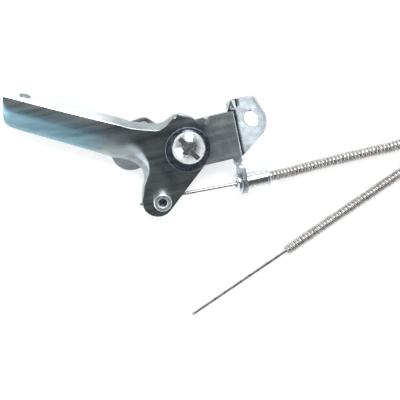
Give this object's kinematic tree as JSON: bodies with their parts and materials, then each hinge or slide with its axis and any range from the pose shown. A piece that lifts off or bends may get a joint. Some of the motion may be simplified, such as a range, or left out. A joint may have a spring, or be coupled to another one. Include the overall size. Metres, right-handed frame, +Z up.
{
  "type": "throttle lever",
  "caption": "Pressed-steel throttle lever on a bent bracket, with a slotted pivot screw, a wire swivel, a ferrule and a coiled steel cable.",
  "frame": {"origin": "on the ground under the middle of the lever and bracket's box, without the cable; the pivot's axis stands at X 22.3 mm, Y -7.2 mm", "axes": "+X along the base strip towards the ear, +Z up out of the pivot screw's slotted head, +Y towards the side that the handle rises to"},
  "size_m": [0.2954, 0.1526, 0.0244],
  "materials": {
    "zinc_sheet": "bright zinc plate, slightly blue",
    "zinc_sheet_dark": "bright zinc plate, blue grey",
    "bright_steel": "polished, plated",
    "dark_steel": "plated, dull",
    "bronze": "turned",
    "black_nylon": "moulded",
    "blue_nylon": "moulded",
    "wire_steel": "drawn wire",
    "conduit_steel": "wound wire, bare"
  },
  "bodies": {
    "base": {"bracket": "zinc_sheet", "pivot_screw": "bright_steel", "front_washer": "dark_steel", "pivot_bush": "bronze", "friction_washer": "black_nylon", "rear_washer": "dark_steel", "disc_spring": "dark_steel", "lock_nut": "bright_steel", "nut_insert": "blue_nylon", "ferrule": "bright_steel", "conduit_lead": "conduit_steel", "conduit_coil": "conduit_steel", "conduit_return": "conduit_steel", "conduit_end": "conduit_steel", "coil_tie_a": "black_nylon", "coil_tie_b": "black_nylon"},
    "lever": {"lever": "zinc_sheet_dark", "wire_span": "wire_steel"},
    "swivel": {"swivel_pin": "bright_steel", "grub_screw": "dark_steel", "swivel_washer": "dark_steel", "swivel_clip": "dark_steel"},
    "free_wire": {"wire_free_end": "wire_steel"}
  },
  "joints": [
    {"name": "lever_pivot", "type": "hinge", "parent": "base", "child": "lever", "pos_m": [0.0223, -0.0072, 0.016], "axis": [0, 0, 1], "range_deg": [-25, 40], "deforming": ["wire_span"]},
    {"name": "swivel_turn", "type": "hinge", "parent": "lever", "child": "swivel", "pos_m": [0.0034, -0.0318, 0.016], "axis": [0, 0, 1], "range_deg": [-24, 15]},
    {"name": "wire_feed", "type": "slide", "parent": "base", "child": "free_wire", "axis": [-0.9225, -0.3859, 0], "range_m": [-0.0125, 0.0195]}
  ],
  "couplings": [
    {"joint": "swivel_turn", "follows": "lever_pivot", "ratio": -0.58},
    {"joint": "wire_feed", "follows": "lever_pivot", "m_per_rad": 0.027}
  ]
}
